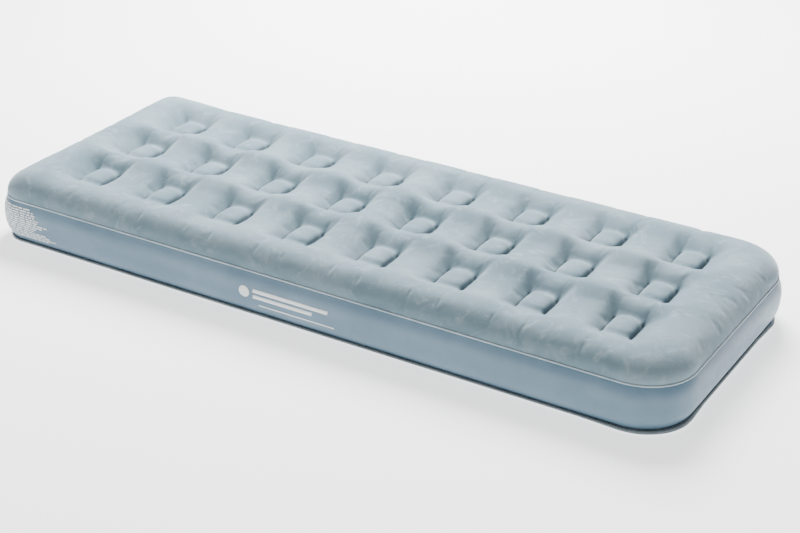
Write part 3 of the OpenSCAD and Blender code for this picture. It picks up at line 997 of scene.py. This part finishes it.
@dataclass
class Print:
    """Plain marks printed on the band: a disc with bars on the near side, and rows of dashes at a corner."""

    wall: SideWall
    outline: Outline
    lift: float = 0.35 * MM

    def bar(self, x_start: float, x_end: float, low: float, high: float, lean: float = 0.0) -> bpy.types.Object:
        """One flat bar.

        Args:
            x_start: where its foot starts along the near side.
            x_end: where its foot ends.
            low: height of its foot.
            high: height of its head.
            lean: how far the head is moved along.

        Returns:
            The bar's mesh.
        """
        across = max(2, int((x_end - x_start) / (6 * MM)) + 2)
        x, t = np.meshgrid(np.linspace(0, 1, across), np.linspace(0, 1, 4))
        run = self.outline.near_side(x_start + (x_end - x_start) * x + lean * t)
        return shaped_grid("bar", across, self.wall.place(self.outline, run, low + (high - low) * t, self.lift))

    def disc(self, x: float, height: float, radius: float) -> bpy.types.Object:
        """One flat disc about a place on the near side."""
        lines = 13
        u, v = np.meshgrid(np.linspace(-1, 1, lines), np.linspace(-1, 1, lines))
        size = np.maximum(np.abs(u), np.abs(v)) / np.maximum(np.hypot(u, v), 1e-9)
        run = self.outline.near_side(x + radius * u * size)
        return shaped_grid("disc", lines, self.wall.place(self.outline, run, height + radius * v * size, self.lift))

    def sign(self) -> list[bpy.types.Object]:
        """A disc, two bold bars beside it and a thin line under them."""
        middle = 69 * MM
        bars = [self.disc(-150 * MM, middle, 15 * MM)]
        bars.append(self.bar(-126 * MM, 84 * MM, middle + 3 * MM, middle + 13 * MM, 2 * MM))
        bars.append(self.bar(-126 * MM, 40 * MM, middle - 13 * MM, middle - 3 * MM, 2 * MM))
        bars.append(self.bar(-112 * MM, 100 * MM, 37 * MM, 41 * MM))
        return bars

    def dashes(self) -> list[bpy.types.Object]:
        """Rows of small dashes that wrap the corner, each row broken at random."""
        draw = np.random.default_rng(4)
        ends = (-812, -806, -800, -802, -788, -786, -760, -776, -798, -806, -762, -756, -738, -764)
        bars = []
        for k, end in enumerate(ends):
            low = (105 - 6.1 * k) * MM
            x = -985 * MM
            while x < end * MM - 4 * MM:
                length = min(draw.uniform(5, 22) * MM, end * MM - x)
                bars.append(self.bar(x, x + length, low, low + 3.6 * MM))
                x += length + draw.uniform(1.5, 3.5) * MM
        return bars

    def join(self, name: str, bars: list[bpy.types.Object]) -> bpy.types.Object:
        """Joins bars into one thin printed layer."""
        deselect()
        for bar in bars:
            bar.select_set(True)
        bpy.context.view_layer.objects.active = bars[0]
        bpy.ops.object.join()
        piece = bpy.context.object
        piece.name = piece.data.name = name
        film = piece.modifiers.new("Film", "SOLIDIFY")
        film.thickness = 0.25 * MM
        film.offset = 0
        apply_modifiers(piece)
        clean_faces(piece, 0.001 * MM)
        return piece


@dataclass
class Underside:
    """The plain sheet that lies on the floor, with a shallow pinched dimple under each pair of ribbons."""

    bed: BedShape
    cell: float = 12 * MM
    hem: float = 48 * MM
    depth: float = 14 * MM
    pinch: float = 60 * MM

    def build(self) -> bpy.types.Object:
        """Makes the sheet."""
        bed = self.bed
        half_x, half_y = bed.length / 2 - bed.foot_tuck, bed.width / 2 - bed.foot_tuck
        xs = np.linspace(-half_x, half_x, 2 * round(half_x / self.cell) + 1)
        ys = np.linspace(-half_y, half_y, 2 * round(half_y / self.cell) + 1)
        flat_x, flat_y = np.meshgrid(xs, ys)
        out_x, out_y = bed.past_core(flat_x, flat_y)
        ring = np.maximum(out_x, out_y)
        plan_x, plan_y = round_corners(bed, flat_x, flat_y, ring, corner_angle(out_x, out_y), ring)
        inset = bed.corner_at(flat_x) - ring
        rise = np.clip((self.hem - inset) / (self.hem - bed.foot_tuck), 0, 1)
        height = bed.foot_weld_low * rise ** 2
        for slot in bed.slots():
            near = np.clip(1 - away_from_slot(bed, slot, plan_x, plan_y) / self.pinch, 0, 1)
            height = np.maximum(height, self.depth * near ** 1.6)
        piece = shaped_grid("Underside", len(xs), np.stack([plan_x, plan_y, height], axis=-1))
        edit_all(piece, bpy.ops.mesh.flip_normals)
        return piece


@dataclass
class Welds:
    """The raised line round the top and the dark line and pale flange round the foot."""

    bed: BedShape
    points: int = 960

    def bead(self, name: str, inset: float, height: float, half_w: float, half_h: float,
             uneven: float, seed: int) -> bpy.types.Object:
        """A bead of oval section round the bed."""
        outline = Outline(self.bed, self.points)
        ripple = Wobble(seed, 12, 0.012, 0.12)
        offset = ripple.over(outline.at(0.0)) * uneven

        def at(share: float) -> tuple[np.ndarray, np.ndarray]:
            turn = 2 * math.pi * share
            return inset - half_w * math.cos(turn) + offset, height + half_h * math.sin(turn) + offset * 0.5

        return sweep_round(name, outline, at, 10, closed=True)

    def top_line(self) -> bpy.types.Object:
        """The raised weld between the top sheet and the wall."""
        middle = (self.bed.top_weld_low + self.bed.top_weld_high) / 2
        return self.bead("TopWeldLine", self.bed.top_tuck - 0.4 * MM, middle, 2.2 * MM, 2.6 * MM, 0.2 * MM, 5)

    def foot_line(self) -> bpy.types.Object:
        """A dark bead at the weld between the wall and the underside: partly the weld's dark edge, partly painted
        contact shadow under the foot.
        """
        middle = (self.bed.foot_weld_low + self.bed.foot_weld_high) / 2
        inset = self.bed.foot_tuck - 0.6 * MM
        return self.bead("FootWeldLine", inset, middle + 1 * MM, 0.9 * MM, 0.8 * MM, 0.3 * MM, 6)

    def flange(self) -> bpy.types.Object:
        """The thin trimmed edge that stands out under the foot weld and waves at the corners."""
        bed = self.bed
        outline = Outline(bed, self.points)
        round_corner = (outline.normals[:, 0] > 0.12) & (np.abs(outline.normals[:, 1]) > 0.25)
        in_corner = np.convolve(np.tile(round_corner.astype(float), 3), np.ones(41) / 41, "same")
        in_corner = in_corner[self.points:2 * self.points]
        wave = Wobble(8, 7, 0.022, 0.07).over(outline.at(0.0))
        out = 3.5 * MM + (9.5 * MM + wave * 2.5 * MM) * in_corner
        lift = wave * 2.0 * MM * in_corner - 2.5 * MM

        def at(share: float) -> tuple[np.ndarray, np.ndarray]:
            corners = ((3.0, 0.0, 0.0), (-1.0, 1.0, 0.0), (-1.0, 1.0, 0.8), (3.0, 0.0, 0.8))
            inward, free, up = corners[round(share * 4) % 4]
            inset = bed.foot_tuck + inward * MM - free * out
            return inset, bed.foot_weld_low + up * MM + free * np.maximum(lift, -5.5 * MM)

        return sweep_round("FootFlange", outline, at, 4, closed=True)


# ---------------------------------------------------------------- studio


@dataclass(frozen=True)
class Studio:
    """Pale floor, soft lights and the camera."""

    camera_place: tuple[float, float, float] = (2.0196, -3.3651, 2.0177)
    azimuth: float = 31.492
    elevation: float = 26.66
    roll: float = 0.523
    lens: float = 79.2
    shift_x: float = 0.0427
    shift_y: float = -0.0150

    def floor(self) -> None:
        """A large pale floor that belongs to the stage."""
        deselect()
        bpy.ops.mesh.primitive_plane_add(size=40)
        floor = bpy.context.object
        floor.name = "StudioFloor"
        bench = NodeBench("studio_floor")
        tone = bench.remap(bench.noise(0.6, 2.0), 0.2, 0.8)
        floor.data.materials.append(
            bench.finish(bench.mix(tone, (0.90, 0.90, 0.90), (0.92, 0.92, 0.92)), 0.9, Specular_IOR_Level=0.1,
                         Emission_Color=(1.0, 1.0, 1.0, 1.0), Emission_Strength=1.5))

    def light(self, name: str, place: Sequence[float], target: Sequence[float], size: float, power: float) -> None:
        """One square soft light."""
        deselect()
        bpy.ops.object.light_add(type="AREA", location=place)
        lamp = bpy.context.object
        lamp.name = name
        lamp.data.shape = "SQUARE"
        lamp.data.size = size
        lamp.data.energy = power
        lamp.rotation_euler = (Vector(target) - Vector(place)).to_track_quat("-Z", "Y").to_euler()

    def build(self) -> None:
        """Makes floor, lights, surroundings and camera."""
        self.floor()
        middle = (0.0, 0.0, 0.1)
        self.light("KeyTop", (-1.0, 2.3, 2.7), middle, 2.0, 650)
        self.light("LeftSheen", (-2.6, -3.4, 2.2), middle, 1.2, 30)
        world = bpy.data.worlds.new("Studio")
        world.use_nodes = True
        world.node_tree.nodes["Background"].inputs["Color"].default_value = (1.0, 1.0, 1.0, 1.0)
        world.node_tree.nodes["Background"].inputs["Strength"].default_value = 0.30
        bpy.context.scene.world = world
        deselect()
        bpy.ops.object.camera_add(location=self.camera_place)
        camera = bpy.context.object
        camera.name = "Camera"
        turn = Matrix.Rotation(math.radians(self.azimuth), 4, "Z")
        tilt = Matrix.Rotation(math.radians(90 - self.elevation), 4, "X")
        spin = Matrix.Rotation(math.radians(self.roll), 4, "Z")
        camera.matrix_world = Matrix.Translation(Vector(self.camera_place)) @ turn @ tilt @ spin
        camera.data.lens = self.lens
        camera.data.sensor_width = 36
        camera.data.shift_x = self.shift_x
        camera.data.shift_y = self.shift_y
        camera.data.clip_end = 60
        bpy.context.scene.camera = camera


# ---------------------------------------------------------------- assembly


@dataclass
class AirBed:
    """Puts the pieces on the frame and dresses what the frame already shows."""

    frame: dict
    bed: BedShape
    finishes: dict[Slot, bpy.types.Material] = field(default_factory=dict)

    def make_finishes(self) -> None:
        """Builds one material for each slot."""
        self.finishes = {
            Slot.FLOCK: FlockFinish().material(),
            Slot.VINYL: VinylFinish("satin_vinyl", (0.112, 0.192, 0.262), (0.138, 0.226, 0.300)).material(),
            Slot.WELD: VinylFinish("weld_vinyl", (0.30, 0.38, 0.42), (0.40, 0.48, 0.52), 0.36).material(),
            Slot.RIBBON: VinylFinish("ribbon_vinyl", (0.50, 0.54, 0.56), (0.60, 0.64, 0.66), 0.4).material(),
            Slot.VALVE: MouldedFinish("valve_plastic", (0.070, 0.090, 0.105), (0.095, 0.118, 0.135)).material(),
            Slot.SILICONE: MouldedFinish("silicone", (0.60, 0.60, 0.57), (0.70, 0.70, 0.67), 0.45, 0.15).material(),
        }

    def dress_nodes(self) -> None:
        """Gives every carried-over node its finish."""
        for row in self.frame["record"]["subparts"]:
            node = self.frame["nodes"][row["node"]]
            finish = self.finishes[Slot(row["material_slot"])]
            node.data.materials.clear()
            node.data.materials.append(finish)

    def add(self, piece: bpy.types.Object, slot: Slot, *nodes: str,
            finish: bpy.types.Material | None = None) -> None:
        """Dresses a piece, hangs it on the bed's body and hides the nodes it stands for."""
        dress(piece, finish or self.finishes[slot])
        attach(piece, BED_BODY)
        if nodes:
            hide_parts(*nodes)
        triangles = sum(len(face.vertices) - 2 for face in piece.data.polygons)
        LOG.info("%s: %d triangles", piece.name, triangles)

    def build(self) -> None:
        """Builds all pieces in order."""
        self.make_finishes()
        self.dress_nodes()
        top = FlockedTop(self.bed).build()
        activate(top)
        bpy.ops.object.shade_smooth()
        self.add(top, Slot.FLOCK, "top_sheet")
        wall = SideWall(self.bed)
        band = wall.build()
        self.add(band, Slot.VINYL, "side_wall")
        printed = Print(wall, Outline(self.bed, 8))
        ink = InkFinish().material()
        self.add(printed.join("SidePrint", printed.sign()), Slot.VINYL, finish=ink)
        self.add(printed.join("CornerPrint", printed.dashes()), Slot.VINYL, finish=ink)
        under = Underside(self.bed).build()
        self.add(under, Slot.VINYL, "bottom_sheet")
        welds = Welds(self.bed)
        self.add(welds.top_line(), Slot.WELD, "top_seam")
        # the foot bead's near-black is partly a dark weld edge and partly painted contact shadow
        dark = VinylFinish("dark_weld_and_shadow", (0.05, 0.065, 0.075), (0.085, 0.105, 0.12), 0.4).material()
        self.add(welds.foot_line(), Slot.WELD, finish=dark)
        pale = VinylFinish("trimmed_edge", (0.44, 0.50, 0.53), (0.55, 0.60, 0.62), 0.4).material()
        self.add(welds.flange(), Slot.WELD, "bottom_seam", finish=pale)


def main() -> None:
    """Loads the frame and builds the bed and its studio."""
    logging.basicConfig(level=logging.INFO, format="%(name)s: %(message)s")
    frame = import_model()
    bed = BedShape.from_frame()
    LOG.info("bed %.3f x %.3f x %.3f m", bed.length, bed.width, bed.height)
    AirBed(frame, bed).build()
    Studio().build()


if __name__ == "__main__":
    main()
